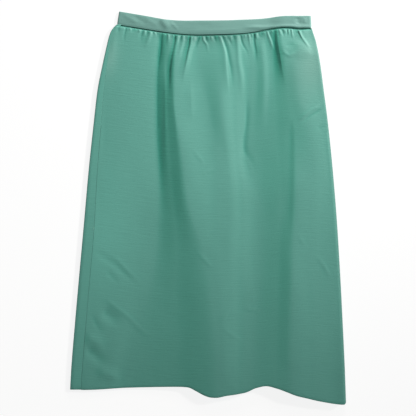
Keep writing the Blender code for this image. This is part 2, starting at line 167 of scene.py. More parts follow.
# Folds in the front panel, in millimetres. Each is a soft ridge (or a groove, where its rise is below 0)
# along a line of (across, drop) points, with a half width on either side of the line, which grow
# by the spread from its head to its foot. It fades over the shares of its length at head and foot.
Fold = namedtuple("Fold", "rise left right spread head foot line")
GATHERS = [Fold(*row) for row in (
    # beside the wearer's right side seam: a low swell and short, fine puckers
    (1, 6, 10, 1.3, 0.3, 0.7, ((-177.5, 11), (-177.2, 23.6), (-179.5, 45.2), (-183.7, 77.6))),
    (-0.6, 4, 2, 1.3, 0, 0.8, ((-160.7, 4.1), (-161.8, 12.3), (-164.7, 19))),
    (-0.6, 2.2, 1.4, 1.3, 0, 0.8, ((-147.7, 1.7), (-147.8, 7.1), (-150.6, 21.8), (-149.8, 36.1))),
    (0.7, 1.8, 1.6, 1.2, 0, 0.9, ((-140.4, 1.5), (-139.9, 9.5))),
    (-0.6, 2.2, 1.6, 1.3, 0, 0.9, ((-132.2, 0.5), (-133.8, 10.5))),
    (0.8, 1.8, 1.8, 1.2, 0, 0.9, ((-123.3, 1.2), (-124.3, 10.3))),
    (-0.7, 2.6, 1.6, 1.6, 0, 0.8, ((-116.3, 0.5), (-119.4, 10.6), (-122.4, 28.9))),
    (-0.7, 1.6, 1.4, 1.4, 0, 0.8, ((-109.3, 1.3), (-110.1, 7.6), (-112.1, 13.3))),
    (1, 2.6, 2.2, 1.9, 0, 0.7, ((-103.1, 1.2), (-104.6, 10.4), (-108.7, 21.7), (-114.5, 38.6))),
    (-0.7, 1.2, 1.1, 1.2, 0, 0.8, ((-99.2, 0.5), (-99.4, 9.5))),
    (0.7, 1.3, 1.3, 1.2, 0, 0.8, ((-95.8, 0.6), (-96, 9.6))),
    (-0.6, 1.2, 1.2, 1.2, 0, 0.8, ((-91.6, 0.5), (-91, 11.2))),
    # the deep valley with its lip, and the two long gathers beside it
    (-0.6, 1.3, 1.2, 1.2, 0, 0.9, ((-75, 0.8), (-74.8, 7.9))),
    (0.8, 2, 1.8, 1.4, 0, 0.8, ((-71.1, 0.9), (-71.2, 10.8), (-72.9, 27.2))),
    (0.7, 1.3, 1.2, 1.2, 0, 0.8, ((-62.4, 1), (-62.4, 10.9))),
    (-1.4, 6.5, 1.8, 1.4, 0, 0.45, ((-60, 0.8), (-60.3, 15.2), (-62.9, 29.8), (-66.6, 48.1),
     (-69.3, 73.6), (-71, 120.5))),
    (0.7, 1.9, 1.7, 1.4, 0, 0.8, ((-53.9, 0.6), (-55.4, 14.7), (-57.1, 29.3))),
    (-0.9, 2, 1.4, 1.4, 0, 0.8, ((-47.8, 0.1), (-49.8, 9.8), (-54.5, 21.8))),
    (0.8, 2.4, 2.4, 1.5, 0, 0.7, ((-44, 0.6), (-45.2, 14), (-49.9, 32.2), (-53.8, 54.1))),
    (0.4, 1.2, 1.2, 1.2, 0, 0.9, ((-36.3, 0.5), (-37, 7.2))),
    (-0.9, 2.8, 1.8, 1.4, 0.1, 0.7, ((-14.8, 1.9), (-18.5, 11), (-21.4, 20), (-22.5, 30.8))),
    # the middle: a small hooked curl and the puckers in it
    (-0.8, 1.5, 1.3, 1.2, 0, 0.8, ((-13, 0.1), (-13.3, 6.4))),
    (0.7, 1.6, 1.5, 1.3, 0, 0.6, ((-9.4, 1.5), (-7.5, 10.8), (-2.3, 18.3), (-0.2, 29.2), (4.2, 34.8))),
    (-0.9, 2, 1.5, 1.3, 0, 0.7, ((-5, 0.7), (-3, 9.3), (2.2, 17.6))),
    (0.6, 1.2, 1.2, 1.2, 0, 0.7, ((5.1, 1.6), (6.3, 8.8), (7.1, 13.4))),
    (-0.9, 1.8, 1.6, 1.4, 0, 0.7, ((10.4, 0.3), (12.2, 8.3), (14.6, 17.5))),
    (0.5, 1.1, 1.1, 1.1, 0, 0.9, ((19, 0.2), (19.5, 6.9))),
    # the arc that swings out and down, and its valley
    (0.85, 4.5, 1.4, 1.7, 0, 0.4, ((20.8, 0.8), (24, 10.6), (26.4, 18.7), (30.2, 32.3), (31.9, 50.3),
     (34, 73.7), (37.3, 115.2))),
    (-0.9, 1.6, 3, 1.6, 0, 0.5, ((23.6, 0.3), (30.4, 17.9), (34.5, 30.6), (37.6, 46.8), (41.5, 68.5),
     (45.2, 104.5))),
    (0.5, 1.5, 1.5, 1.2, 0, 0.8, ((28.1, 0.5), (29.3, 8.8))),
    (-0.5, 1.8, 1.8, 1.4, 0, 0.8, ((38.3, 10.8), (43.2, 25.3))),
    (1, 3.2, 3.4, 1.9, 0, 0.5, ((50.7, 0.5), (53, 18.3), (54.4, 34.6), (55.7, 54.6), (59.8, 80.1),
     (62.1, 134.3))),
    (-0.8, 1.6, 1.5, 1.6, 0, 0.7, ((57.5, 0.5), (61.7, 18.9), (69.6, 34.1), (72.1, 49))),
    (0.5, 1.2, 1.2, 1.2, 0, 0.8, ((66.1, 0.8), (66.5, 12))),
    (-0.5, 1.2, 1.2, 1.2, 0, 0.9, ((69.7, 0.4), (69.7, 8.9))),
    (0.7, 1.4, 1.2, 1.4, 0, 0.7, ((72.6, 1), (75.1, 18.8), (77.1, 35.3))),
    (-0.7, 1.3, 1.1, 1.3, 0, 0.8, ((75.7, 0.8), (80, 15.9))),
    (-1.1, 2.6, 1.3, 1.6, 0, 0.6, ((81.9, 0), (83.2, 18.2), (84.5, 27.4), (86.2, 38.5), (86.7, 62))),
    (0.8, 1.3, 1.3, 1.2, 0, 0.5, ((86.6, 1.2), (87.2, 10.7), (90.7, 14.8))),
    # the wearer's left: the broad gather, the deepest groove and the crowded puckers
    (-0.6, 1.7, 1.4, 1.2, 0, 0.7, ((90.8, 0.4), (92.5, 8.8), (98.7, 14.5))),
    (1.3, 7, 7, 1.2, 0.15, 0.5, ((95.1, 9.8), (97.6, 39.2), (100.2, 65), (100.9, 99.4), (99, 144),
     (96.1, 188.4))),
    (1.1, 2.6, 1.3, 1.3, 0, 0.4, ((107.2, 2.5), (110.2, 14.1), (113, 22.5), (115.8, 32), (118, 42))),
    (-0.7, 1.3, 1.3, 1.2, 0, 0.7, ((106.9, 0.2), (111.5, 12.7), (115.9, 22.1))),
    (0.6, 1.4, 1.4, 1.2, 0, 0.8, ((114.8, 1.5), (115.8, 11.3))),
    (-0.7, 1.2, 1.2, 1.2, 0, 0.8, ((129.5, 0.6), (132.2, 7.6))),
    (0.6, 1.3, 1.3, 1.2, 0, 0.8, ((135, 1.5), (138, 11.7))),
    (-0.9, 1.3, 1.2, 1.1, 0, 0.6, ((142.1, 0.4), (141.9, 9.6), (141.6, 18.6))),
    (0.6, 1.2, 1.2, 1.2, 0, 0.7, ((144.6, 4), (145.2, 16.6))),
    (-0.6, 1.3, 1.3, 1.1, 0.2, 0.5, ((147.6, 0), (149.1, 12.7))),
    (0.9, 1.3, 1.3, 1.3, 0, 0.5, ((149.4, 3.7), (150.7, 10.7), (152.7, 21.3))),
    (-0.6, 1.2, 1.2, 1.2, 0, 0.9, ((152.7, 0.8), (153.8, 8.6))),
    (1.3, 1.6, 1.6, 1.5, 0, 0.4, ((162.7, 2.2), (166.1, 11.2), (171.4, 20.7), (178.5, 30.6),
     (183.7, 39.6))),
    (-0.5, 1.6, 1.6, 1.3, 0, 0.8, ((167.2, 0.6), (170.6, 12))),
    (0.8, 9, 5.6, 1.2, 0.3, 0.5, ((167.9, 24.4), (177.5, 39.6), (183.4, 57.6))),
    (1.4, 8, 16, 1.2, 0.3, 0.5, ((161, 18), (163, 30), (165, 45), (168, 62))),
    (-0.5, 3, 3, 1.2, 0.4, 0.5, ((136.5, 33.3), (145.3, 32.7), (155.9, 28))),
    (0.7, 2.8, 2.8, 1.1, 0.3, 0.4, ((133, 38.3), (137.5, 45.8), (145.5, 50.7), (154.5, 46.2),
     (161.6, 38.2))),
)]
PLEATS = [Fold(*row) for row in (  # sharp folds, whose sides meet in a line
    (-1.5, 7, 2.6, 1.5, 0, 0.6, ((-84.4, 0), (-84.7, 12), (-85, 23), (-86.6, 38), (-88.5, 56),
     (-90.1, 79))),
    (-1.5, 14, 6, 1.4, 0, 0.45, ((-85, 2), (-85.5, 23), (-87.1, 38), (-89, 56), (-90.6, 79),
     (-91.3, 106), (-91.3, 160), (-90, 196), (-87.3, 232), (-84.6, 268), (-82, 305), (-81, 345))),
    (0.8, 4.5, 16, 1.2, 0.2, 0.5, ((-78.5, 50), (-77.5, 80), (-76.9, 120), (-76.4, 200), (-76.4, 315))),
    (0.85, 5, 18, 1.6, 0.1, 0.5, ((-58, 8), (-58.5, 30), (-60.3, 51), (-62.5, 75), (-62.5, 102),
     (-61.5, 129), (-58.5, 156), (-55, 192), (-50.5, 228), (-48, 264), (-46, 300), (-45, 345))),
    (2.6, 2.8, 5.5, 1.8, 0, 0.6, ((-30, 1), (-31.4, 16.7), (-34.7, 31.2), (-38.4, 49.5), (-43.2, 72.9),
     (-46.4, 95))),
    (2.1, 2.8, 15, 1.8, 0, 0.55, ((122.8, 1), (124.2, 21), (125.6, 32), (127.8, 43), (129.6, 54),
     (131.4, 64), (132.8, 75), (135, 86), (137.7, 100), (140, 112))),
    (0.9, 10, 12, 1.2, 0.4, 0.4, ((-32, 75), (-31, 98), (-30, 125), (-28, 165))),
    (0.5, 12, 30, 1, 0.4, 0.1, ((148, 360), (147, 440), (144, 520), (142, 620))),
    (-1.1, 5, 1.1, 1.6, 0, 0.6, ((-32.2, 1), (-33.6, 16.7), (-36.9, 31.2), (-40.6, 49.5), (-45.2, 72.9))),
    # short puckers where the gathers leave the band
    (-0.7, 1.6, 1.4, 1.2, 0, 0.6, ((-136, 1), (-137, 12))),
    (0.6, 1.5, 1.5, 1.2, 0, 0.6, ((-113, 1), (-114.5, 15))),
    (-0.6, 1.6, 1.4, 1.2, 0, 0.6, ((-68, 1), (-69.5, 13))),
    (-0.6, 1.5, 1.3, 1.2, 0, 0.6, ((-41, 1), (-42.5, 12))),
    (0.7, 1.5, 1.4, 1.2, 0, 0.6, ((-24, 1), (-25.5, 14))),
    (-0.7, 1.6, 1.4, 1.2, 0, 0.6, ((-19.5, 1), (-21, 11))),
    (0.6, 1.5, 1.4, 1.2, 0, 0.6, ((0.5, 1), (2.5, 11))),
    (-0.8, 1.6, 1.5, 1.2, 0, 0.6, ((34, 1), (36, 14))),
    (0.7, 1.5, 1.4, 1.2, 0, 0.6, ((40, 1), (42, 16))),
    (-0.8, 1.6, 1.5, 1.2, 0, 0.6, ((45, 1), (47, 13))),
    (-0.8, 1.6, 1.4, 1.2, 0, 0.6, ((94.5, 1), (97, 12))),
    (0.7, 1.5, 1.4, 1.2, 0, 0.6, ((100.5, 1), (103.5, 14))),
    (0.9, 1.6, 1.4, 1.2, 0, 0.5, ((127.5, 1.5), (131.5, 17))),
    (-0.9, 1.6, 1.4, 1.2, 0, 0.5, ((132, 1), (136.5, 19))),
    (0.8, 1.5, 1.4, 1.2, 0, 0.5, ((138, 1.5), (141.5, 14))),
    (-0.8, 1.5, 1.4, 1.2, 0, 0.5, ((156.5, 1), (158, 12))),
)]
CREASES = [Fold(*row) for row in (
    # long soft creases
    (-0.6, 9, 2.2, 1.4, 0.15, 0.3, ((149.5, 158), (149.5, 240), (147, 330), (141, 400))),
    (-0.6, 3, 5, 1, 0.3, 0.4, ((70, 106), (69.5, 157), (65.5, 207), (77, 230), (88, 258))),
    # small pressed-in creases
    (0.75, 2, 1.6, 1, 0.3, 0.4, ((206, 137), (182, 150), (158, 169))),
    (-0.75, 1.8, 1.8, 1, 0.3, 0.4, ((209, 144), (187, 156), (165, 171.5))),
    (-0.55, 1.8, 1.8, 1, 0.3, 0.4, ((216, 177.5), (192, 179.5))),
    (0.5, 2.2, 2.2, 1, 0.4, 0.4, ((192.6, 408), (209, 428), (222, 453))),
    (0.4, 2.2, 2.2, 1, 0.4, 0.4, ((160, 371), (175, 390))),
    (0.5, 1.7, 1.7, 1, 0.4, 0.4, ((-29, 207), (-17, 219), (-3, 235))),
    (0.5, 1.7, 1.7, 1, 0.4, 0.4, ((-14.4, 252.5), (12.6, 239.5))),
    (0.5, 2, 2, 1, 0.4, 0.4, ((-24, 387), (-8, 402), (13, 424))),
    (0.5, 2, 2, 1, 0.4, 0.4, ((17, 524), (32, 503), (49, 487))),
    (0.5, 2, 2, 1, 0.4, 0.4, ((21.6, 524), (44, 541), (67, 552))),
    (0.5, 2, 2, 1, 0.4, 0.4, ((63, 493), (99, 502.5))),
    # dents and ridges low on the wearer's right
    (-0.5, 4.5, 4.5, 1.3, 0.3, 0.5, ((-210, 404), (-190, 417), (-169, 431), (-145, 449), (-119, 468))),
    (0.5, 2.2, 2.2, 1.2, 0.3, 0.5, ((-177, 416), (-162, 424), (-144, 440), (-115, 462))),
    (-0.4, 3, 3, 1.2, 0.3, 0.5, ((-184, 442), (-171, 455), (-157, 470))),
    (0.65, 2.4, 2, 1.2, 0.2, 0.7, ((-187, 489), (-167, 507), (-145, 521), (-121, 540), (-104, 549),
     (-74, 545))),
    (-1.2, 9, 9, 1.2, 0.3, 0.5, ((-193, 512), (-173, 526), (-151, 541))),
    (1, 10, 10, 1, 0.3, 0.5, ((-226, 560), (-204, 568), (-180, 582))),
    (-1.2, 8, 8, 1.2, 0.3, 0.5, ((-221, 580), (-200, 597), (-176, 614))),
    (0.9, 9, 9, 1, 0.3, 0.5, ((-200, 619), (-176, 630), (-150, 636))),
    (-0.5, 4, 4, 1.1, 0.3, 0.6, ((-209, 520), (-196, 545), (-178, 556))),
)]

FRONT_COLUMNS = 301  # from the visible side seam to the soft fold, near the waist
FINE_DROP = 0.175  # below this the front panel has half as many columns
BACK_COLUMNS = 120
BACK_ROWS = 150
CORNER = 0.0055  # radius of the corner where the hem meets the soft fold
CORNER_GATHER = 60.0  # the higher, the nearer the hem it begins
ROLL_STEPS = 18  # facets round the soft fold
SHARP_STEPS = 8  # facets round the sharp fold
PRESSED = 0.5  # how far the sharp fold bulges, as a share of its half height
STRIP_COLUMNS = 8  # from a fold to the side seam past it
ALLOWANCE_COLUMNS = 2
HEM_STEPS = 4  # facets round a hem's edge
ROW_CROWDING = 1.35  # over 1, rows lie closer together near the waist
BAND_SPACING = 0.0016  # between the band's stations
BAND_FACE_POINTS = 27  # across the band's face
BAND_EDGE_POINTS = 5  # round each of its edges


# -------- curves

def ease(t):
    """0 to 1 with a level start and finish."""
    t = np.clip(t, 0.0, 1.0)
    return t * t * (3.0 - 2.0 * t)


def mix(a, b, t):
    return a + (b - a) * t


def cubic(t, start, end, leaving, arriving):
    """A smooth way from start to end, with the slopes at which it leaves and arrives."""
    return mix(start, end, ease(t)) + t * (1.0 - t) ** 2 * leaving - t * t * (1.0 - t) * arriving


def calm_slopes(rates):
    """Slopes at the points between steps, level where the curve turns back (harmonic mean)."""
    before, after = rates[:-1], rates[1:]
    same_way = before * after > 0.0
    both = np.where(same_way, before * after, 1.0)
    return np.where(same_way, 2.0 * both / np.where(same_way, before + after, 1.0), 0.0)


def smooth_curve(places, values):
    """A curve through the points that never overshoots them (monotone cubic)."""
    xs = np.asarray(places, dtype=float)
    ys = np.asarray(values, dtype=float)
    order = np.argsort(xs)
    xs, ys = xs[order], ys[order]
    steps = np.diff(xs)
    rates = np.diff(ys) / steps
    slopes = np.concatenate((rates[:1], calm_slopes(rates), rates[-1:]))

    def at(x):
        x = np.clip(x, xs[0], xs[-1])
        i = np.clip(np.searchsorted(xs, x, side="right") - 1, 0, len(steps) - 1)
        t = (x - xs[i]) / steps[i]
        return cubic(t, ys[i], ys[i + 1], steps[i] * slopes[i], steps[i] * slopes[i + 1])

    return at


def column(table, name):
    """One named column of a table."""
    return [getattr(row, name) for row in table]


def table_curve(table, place, value):
    """The curve of one named column over another."""
    return smooth_curve(column(table, place), column(table, value))


waist_along = table_curve(WAISTLINE, "across", "along")
band_height = table_curve(WAISTLINE, "across", "height")
left_across = table_curve(LEFT_EDGE, "along", "across")
right_across = table_curve(RIGHT_EDGE, "along", "across")
front_hem = table_curve(FRONT_HEM, "across", "along")
back_hem = table_curve(BACK_HEM, "across", "along")
left_turn = table_curve(SIDE_TURNS, "share", "left")
right_turn = table_curve(SIDE_TURNS, "share", "right")
section_drops = np.array(column(SECTIONS, "drop")) * MM
flank_height = smooth_curve(section_drops, np.array(column(SECTIONS, "flank")) * MM)


def half_turn(steps):
    """Sine and cosine at each facet round a half turn, after its start."""
    angles = [math.pi * step / steps for step in range(1, steps + 1)]
    return [(math.sin(angle), math.cos(angle)) for angle in angles]


def row_shares(rows):
    """Shares of the length from waist to hem, closer together near the waist."""
    return np.linspace(0.0, 1.0, rows) ** ROW_CROWDING


RowZone = namedtuple("RowZone", "end spacing")
FRONT_ZONES = [RowZone(*row) for row in (  # spacing of the front panel's rows, from its top edge down
    (0.003, 0.0010),
    (0.009, 0.0005),
    (0.030, 0.0013),
    (0.065, 0.0020),
    (0.130, 0.0034),
    (0.175, 0.0024),
    (0.655, 0.0044),
)]


def front_shares():
    """Shares of the front panel's length at which its rows lie."""
    places, start = [0.0], 0.0
    for zone in FRONT_ZONES:
        count = round((zone.end - start) / zone.spacing)
        places += list(start + (zone.end - start) * np.arange(1, count + 1) / count)
        start = zone.end
    return np.array(places) / start


def share_down(edge, along):
    """Share of the length from waist to hem at a height along one side."""
    return (edge[0].along - along) / (edge[0].along - edge[-1].along)


def left_seam(along):
    """Where the visible side seam lies at a height along the skirt."""
    return left_across(along) + left_turn(share_down(LEFT_EDGE, along))


def right_seam(along):
    """Where the side seam underneath lies."""
    return right_across(along) - right_turn(share_down(RIGHT_EDGE, along))


def soft_fold_height(along):
    return flank_height(RIGHT_EDGE[0].along - along)


def roll_start_across(along):
    """Where the front panel begins to turn down round the soft fold."""
    return right_across(along) - ROLL_ASPECT * soft_fold_height(along)


def lengthwise(across_top, across_hem, hem, share):
    """How far along the skirt a share of the length lies, between two columns' ends."""
    return mix(waist_along(across_top) - WAIST_SEAM_GAP, hem(across_hem), share)


# -------- the cloth's relief

def large_form(across, drop, flank_across):
    """Height of the outer face from the crests and valleys, side seam to soft fold."""
    knots = [(left_seam(waist_along(across) - drop), np.full(np.shape(across), SEAM_HEIGHT))]
    for name in Section._fields[1:-1]:
        parts = np.array(column(SECTIONS, name)).T * MM
        knots.append([smooth_curve(section_drops, part)(drop) for part in parts])
    knots.append((np.full(np.shape(across), flank_across), flank_height(drop)))
    xs, ys = np.array([x for x, y in knots]), np.array([y for x, y in knots])
    steps = np.diff(xs, axis=0)
    slopes = np.zeros(xs.shape)
    slopes[1:-1] = calm_slopes(np.diff(ys, axis=0) / steps)
    height = ys[0]
    for i in range(len(steps)):
        t = np.clip((across - xs[i]) / steps[i], 0.0, 1.0)
        level = cubic(t, ys[i], ys[i + 1], steps[i] * slopes[i], steps[i] * slopes[i + 1])
        height = np.where(across >= xs[i], level, height)
    return height


def rounded_line(points, steps=6):
    """The points joined by a smooth line (Catmull-Rom), with some steps between each two."""
    points = np.asarray(points, dtype=float)
    before = np.vstack([2 * points[0] - points[1], points[:-1]])
    after = np.vstack([points[1:], 2 * points[-1] - points[-2]])
    tangents = 0.5 * (after - before)
    line = [points[0]]
    for i in range(len(points) - 1):
        for step in range(1, steps + 1):
            line.append(cubic(step / steps, points[i], points[i + 1], tangents[i], tangents[i + 1]))
    return np.array(line)


def soft_bell(reach, width):
    return np.exp(-(reach / width) ** 2)


def sharp_bell(reach, width):
    return np.exp(-(np.hypot(reach, PLEAT_ROUNDING) - PLEAT_ROUNDING) / width)


def fold_relief(folds, across, drop, bell=soft_bell):
    """Height that a table of folds adds: a bell across each line that dies out towards its ends."""
    relief = np.zeros(np.shape(across))
    for fold in folds:
        line = rounded_line(np.array(fold.line) * MM)
        runs = np.linalg.norm(np.diff(line, axis=0), axis=1)
        begins = np.concatenate(([0.0], np.cumsum(runs)))
        nearest = np.full(np.shape(across), np.inf)
        side = np.zeros(np.shape(across))
        share = np.zeros(np.shape(across))
        for (ax, ay), (bx, by), run, begin in zip(line[:-1], line[1:], runs, begins):
            ux, uy = (bx - ax) / run, (by - ay) / run
            reach = np.clip((across - ax) * ux + (drop - ay) * uy, 0.0, run)
            dx, dy = across - ax - reach * ux, drop - ay - reach * uy
            distance = np.hypot(dx, dy)
            closer = distance < nearest
            nearest = np.where(closer, distance, nearest)
            side = np.where(closer, dx * uy - dy * ux, side)
            share = np.where(closer, (begin + reach) / begins[-1], share)
        width = np.where(side < 0.0, fold.left, fold.right) * MM * mix(1.0, fold.spread, share)
        fade = 1.0
        if fold.head > 0.0:
            fade = fade * ease(share / fold.head)
        if fold.foot > 0.0:
            fade = fade * ease((1.0 - share) / fold.foot)
        relief += fold.rise * MM * fade * bell(nearest, width)
    return relief


UNEVEN = (  # soft unevenness all over, as (wavelength across, along, height)
    (0.060, 0.090, 0.00035),
    (0.022, 0.030, 0.00010),
)
NOISE_SLICE = 1.3


def unevenness(across, along):
    """Small, soft hills and hollows."""
    flat_across, flat_along = np.ravel(across), np.ravel(along)
    total = np.zeros(len(flat_across))
    for wide, tall, height in UNEVEN:
        spots = zip(flat_across / wide, flat_along / tall)
        total += height * np.array([noise.noise(Vector((x, y, NOISE_SLICE))) for x, y in spots])
    return total.reshape(np.shape(across))


FLANK_CALM = 0.012  # width beside the soft fold that creases don't reach
SEAM_CALM = 0.010  # and beside the side seam


def swelling(drop, reach):
    """0 on the flat strip below the band, rising to 1 past it."""
    return 1.0 - np.exp(-(np.clip(drop - GATHER_REST, 0.0, None) / reach) ** SWELL_POWER)


def front_height(across, drop, along, flank_across):
    """Outer face of the front panel, from its edge inside the band down to the hem."""
    heads = 1.0 + GATHER_HEADS * np.exp(-np.clip(drop, 0.0, None) / HEAD_LENGTH)
    relief = GATHER_STRENGTH * heads * fold_relief(GATHERS, across, drop)
    relief += fold_relief(PLEATS, across, drop, sharp_bell)
    relief *= swelling(drop, HEAD_DITCH)
    relief += fold_relief(CREASES, across, drop)
    relief += unevenness(across, along)
    calm = ease((flank_across - across) / FLANK_CALM)
    calm *= ease((across - left_seam(along)) / SEAM_CALM)
    pull = SEAM_PULL * np.exp(-((drop - GATHER_REST) / GATHER_REST) ** 2)
    inside_band = band_face(across) - BAND - AIR - pull * ease((across - left_seam(along)) / SEAM_CALM)
    swell = swelling(drop, DITCH)
    height = mix(inside_band, large_form(across, drop, flank_across), swell) + relief * calm
    return np.maximum(height, mix(inside_band, LOWEST_FRONT, swell))


# -------- panels

SEAM_SHARES = (0.0, 0.0002, 0.0016, 0.0032)  # the first columns, crowded beside the seam
TUCK_STARTS = (0.02, 0.05)  # shares of the width over which the tuck grows, from either side
STRIP_GATHER = 4  # the higher, the nearer the hem the strip underneath lifts

# The front's painted shade: how deep its colour is in hollows, in shade and where it turns from the window.
# A hollow's depth is below 0 on crests.
HOLLOW_REACHES = (-0.009, -0.0045, 0.0045, 0.009)  # a hollow is measured against the cloth this far away
HOLLOW_DEPTH = 0.0012  # the hollow whose depth is 1
TURNED_REACH = 0.004  # half the width over which the cloth's slope is measured
TURNED_SLOPE = 0.32  # slope at which cloth is wholly turned away from the window
# painted shade that darkens the soft fold's roll, which faces the window
ROLL_HOLLOW_SHADE = 0.3  # the depth that the soft fold's roll is given
ROLL_SHADE = 1.5  # and its shade
SEAM_SHADE = 0.1  # the band's shade on the cloth below it
SEAM_SHADE_REACH = 0.0034  # how far down it falls
SHADE_IN_HOLLOWS = 0.5  # how much stronger it is for each depth of hollow

# The shade that the gathers in the middle cast on each other, and how far from its middle it reaches.
Shade = namedtuple("Shade", "strength across reach drop")
GATHER_SHADE = Shade(1.9, 0.01, 0.10, 0.015)


def front_shades(across, height, drop):
    """For each point of a row: how deep in a hollow, how much in shade, how far turned from the window."""
    around = [np.interp(across + reach, across, height) for reach in HOLLOW_REACHES]
    hollow = (np.mean(around, axis=0) - height) / HOLLOW_DEPTH
    shade = SEAM_SHADE * np.exp(-(drop / SEAM_SHADE_REACH) ** 3)
    shade *= np.clip(1.0 + SHADE_IN_HOLLOWS * hollow, 0.0, 1.0)
    shade += GATHER_SHADE.strength * np.exp(
        -((across - GATHER_SHADE.across) / GATHER_SHADE.reach) ** 2 - (drop / GATHER_SHADE.drop) ** 2
    )
    rise = np.interp(across + TURNED_REACH, across, height)
    rise -= np.interp(across - TURNED_REACH, across, height)
    turned = np.clip(0.5 * rise / TURNED_REACH / TURNED_SLOPE, 0.0, 1.0)
    rest = ROLL_STEPS + STRIP_COLUMNS + ALLOWANCE_COLUMNS
    return np.stack([
        np.pad(values, (0, rest), constant_values=value)
        for values, value in ((hollow, ROLL_HOLLOW_SHADE), (shade, ROLL_SHADE), (turned, 0.0))
    ], axis=1)


def front_grid():
    """The front panel's outer face, from the visible side seam over the top and round the soft fold to the
    side seam underneath, and the shades of its points.
    """
    rows, shades = [], []
    even = np.linspace(2.0 * SEAM_SHARES[-1], 1.0, FRONT_COLUMNS - len(SEAM_SHARES))
    span = np.concatenate((SEAM_SHARES, even))
    top_ends = left_seam(LEFT_EDGE[0].along) + SIDE_GAP, roll_start_across(RIGHT_EDGE[0].along)
    hem_ends = left_seam(LEFT_EDGE[-1].along) + SIDE_GAP, roll_start_across(RIGHT_EDGE[-1].along)
    tuck = TUCK * ease(span / TUCK_STARTS[0]) * ease((1.0 - span) / TUCK_STARTS[1])
    for share in front_shares():
        along = lengthwise(mix(*top_ends, span), mix(*hem_ends, span), front_hem, share)
        along = along + (tuck + WAIST_SEAM_GAP) * (1.0 - share)
        along[-1] = lengthwise(top_ends[1], hem_ends[1], front_hem, share)
        fold_across = right_across(along[-1])
        roll_height = soft_fold_height(along[-1])
        roll_start = roll_start_across(along[-1])
        across = mix(left_seam(along[0]) + SIDE_GAP, roll_start, span)
        height = front_height(across, waist_along(across) - along, along, roll_start)
        height -= seam_turn(across - across[0])
        height[-1] = roll_height
        shades.append(front_shades(across, height, np.clip(waist_along(across) - along, 0.0, None)))
        row = list(zip(across, along + corner_lift(across, share), height))
        for sine, cosine in half_turn(ROLL_STEPS):
            turned_to = mix(roll_start, fold_across, sine)
            lift = corner_lift(turned_to, share)
            row.append((turned_to, along[-1] + lift, 0.5 * roll_height * (1.0 + cosine)))
        seam_across = right_seam(along[-1])
        strip, allowance = past_fold(roll_start, seam_across, -1.0)
        for place in strip + allowance:
            row.append((place, along[-1] + strip_lift(place, share), under_seam(place - seam_across)))
        rows.append(row)
    return np.array(rows), np.array(shades)


def past_fold(fold_across, seam_across, onward):
    """Where the columns lie from a fold to the side seam past it, and then on its allowance."""
    shares = [1.0 - (1.0 - step / STRIP_COLUMNS) ** 3 for step in range(1, STRIP_COLUMNS + 1)]
    steps = [SEAM_ALLOWANCE * step / ALLOWANCE_COLUMNS for step in range(1, ALLOWANCE_COLUMNS + 1)]
    strip = [mix(fold_across, seam_across, share) for share in shares]
    return strip, [seam_across + onward * step for step in steps]


def corner_lift(across, share):
    """How far the hem draws up at the soft fold, where its corner is rounded."""
    past = np.clip((across - RIGHT_EDGE[-1].across + CORNER) / CORNER, 0.0, 1.0)
    return CORNER * (1.0 - np.sqrt(1.0 - past ** 2)) * share ** CORNER_GATHER


def strip_lift(across, share):
    """How much higher the front panel's hem runs on the strip underneath than at the soft fold."""
    fold_hem = float(front_hem(roll_start_across(RIGHT_EDGE[-1].along)))
    return share ** STRIP_GATHER * (float(front_hem(across)) - fold_hem)


def seam_turn(distance):
    """How far the cloth beside a seam turns down into it."""
    return SEAM_TURN * np.exp(-(distance / SEAM_ROUNDING) ** 2)


def under_seam(distance):
    """Height of a seam's under layer, which passes beneath the other one."""
    return (CLOTH + AIR) * (1.0 - ease(distance / SEAM_ROUNDING))


def back_grid():
    """The back panel's outer face: along the table, round the sharp fold, to the visible side seam."""
    rows = []
    radius = 0.5 * SEAM_HEIGHT
    turn = PRESSED * radius
    span = np.linspace(0.0, 1.0, BACK_COLUMNS)
    top_ends = right_seam(RIGHT_EDGE[0].along) - SIDE_GAP, LEFT_EDGE[0].across + turn
    hem_ends = right_seam(RIGHT_EDGE[-1].along) - SIDE_GAP, LEFT_EDGE[-1].across + turn
    for share in row_shares(BACK_ROWS):
        along = lengthwise(mix(*top_ends, span), mix(*hem_ends, span), back_hem, share)
        fold_across = left_across(along[-1])
        across = mix(right_seam(along[0]) - SIDE_GAP, fold_across + turn, span)
        row = list(zip(across, along, np.zeros(BACK_COLUMNS)))
        for sine, cosine in half_turn(SHARP_STEPS):
            row.append((fold_across + turn * (1.0 - sine), along[-1], radius * (1.0 - cosine)))
        seam_across = left_seam(along[-1])
        strip, allowance = past_fold(fold_across + turn, seam_across, 1.0)
        for place in strip:
            row.append((place, along[-1], SEAM_HEIGHT - under_seam(seam_across - place)))
        for place in allowance:
            row.append((place, along[-1], SEAM_HEIGHT - 2.0 * (CLOTH + AIR)))
        rows.append(row)
    return np.array(rows)


# -------- waistband

def band_face(across):
    """Height of the band's outer face on the front run."""
    right = WAISTLINE[-1].across
    thin = 2.0 * BAND_SOLID + BAND_AIR
    thick = thin + BAND_SOLID + SEAM_GAP
    climb_end = right - LAP_LENGTH - SEAM_GAP - JOG_LENGTH
    climb_start = climb_end - FRONT_RISE_LENGTH
    level = mix(thin, thick, ease((across - climb_start) / (climb_end - climb_start)))
    return level + smooth_curve(*zip(*BAND_SWELLS))(across)


def band_run(start, end, height):
    """Stations of a straight run of the band, as (across, height of the outer face)."""
    count = max(2, round(abs(end - start) / BAND_SPACING) + 1)
    return [(across, float(height(across))) for across in np.linspace(start, end, count)]


def band_bend(side, way, thickness):
    """Stations round one side of the skirt, upwards (way 1) or downwards (way -1)."""
    radius = 0.5 * thickness
    return [
        (side + way * radius * (1.0 - sine), radius * (1.0 - way * cosine))
        for sine, cosine in half_turn(2 * SHARP_STEPS)[:-1]
    ]


